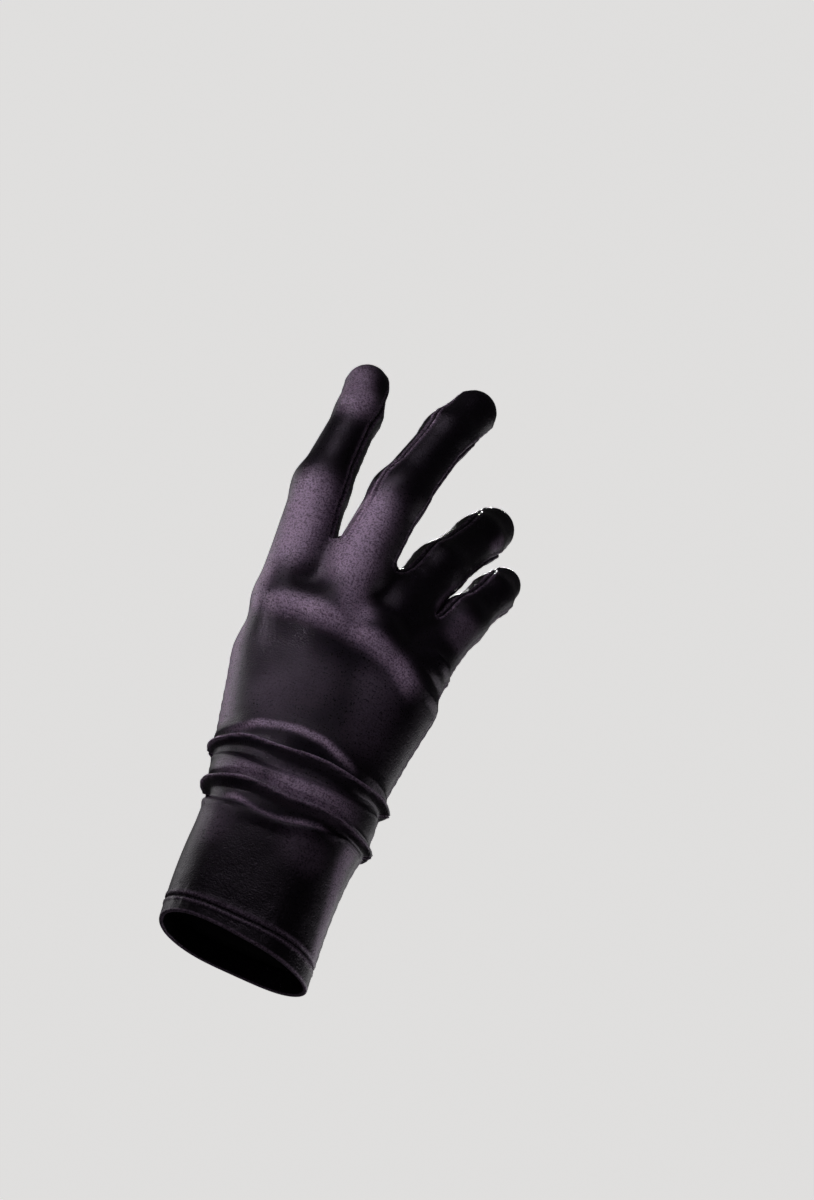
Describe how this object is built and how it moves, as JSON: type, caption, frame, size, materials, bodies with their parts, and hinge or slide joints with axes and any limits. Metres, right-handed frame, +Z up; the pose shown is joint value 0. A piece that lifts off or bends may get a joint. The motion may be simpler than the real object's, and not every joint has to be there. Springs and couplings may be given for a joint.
{
  "type": "wrist length dress glove",
  "caption": "Right-hand dress glove ending above the wrist, sewn from back and palm panels, strips between the fingers, a set-in thumb and a hem, in its worn form.",
  "frame": {"origin": "middle of the wrist opening, where the glove is held up by the forearm in it", "axes": "+Z up the forearm into the hand, -Y the side of the back of the hand, -X the thumb side, +X the little finger's side"},
  "size_m": [0.0817, 0.0877, 0.2357],
  "materials": {
    "satin": "dark purple-black stretch satin",
    "hem": "the same satin turned up and stitched"
  },
  "bodies": {
    "root": {"back_panel": "satin", "palm_panel": "satin", "fourchette_index_middle": "satin", "fourchette_middle_ring": "satin", "fourchette_ring_little": "satin", "thumb": "satin", "hem_band": "hem"}
  },
  "joints": []
}
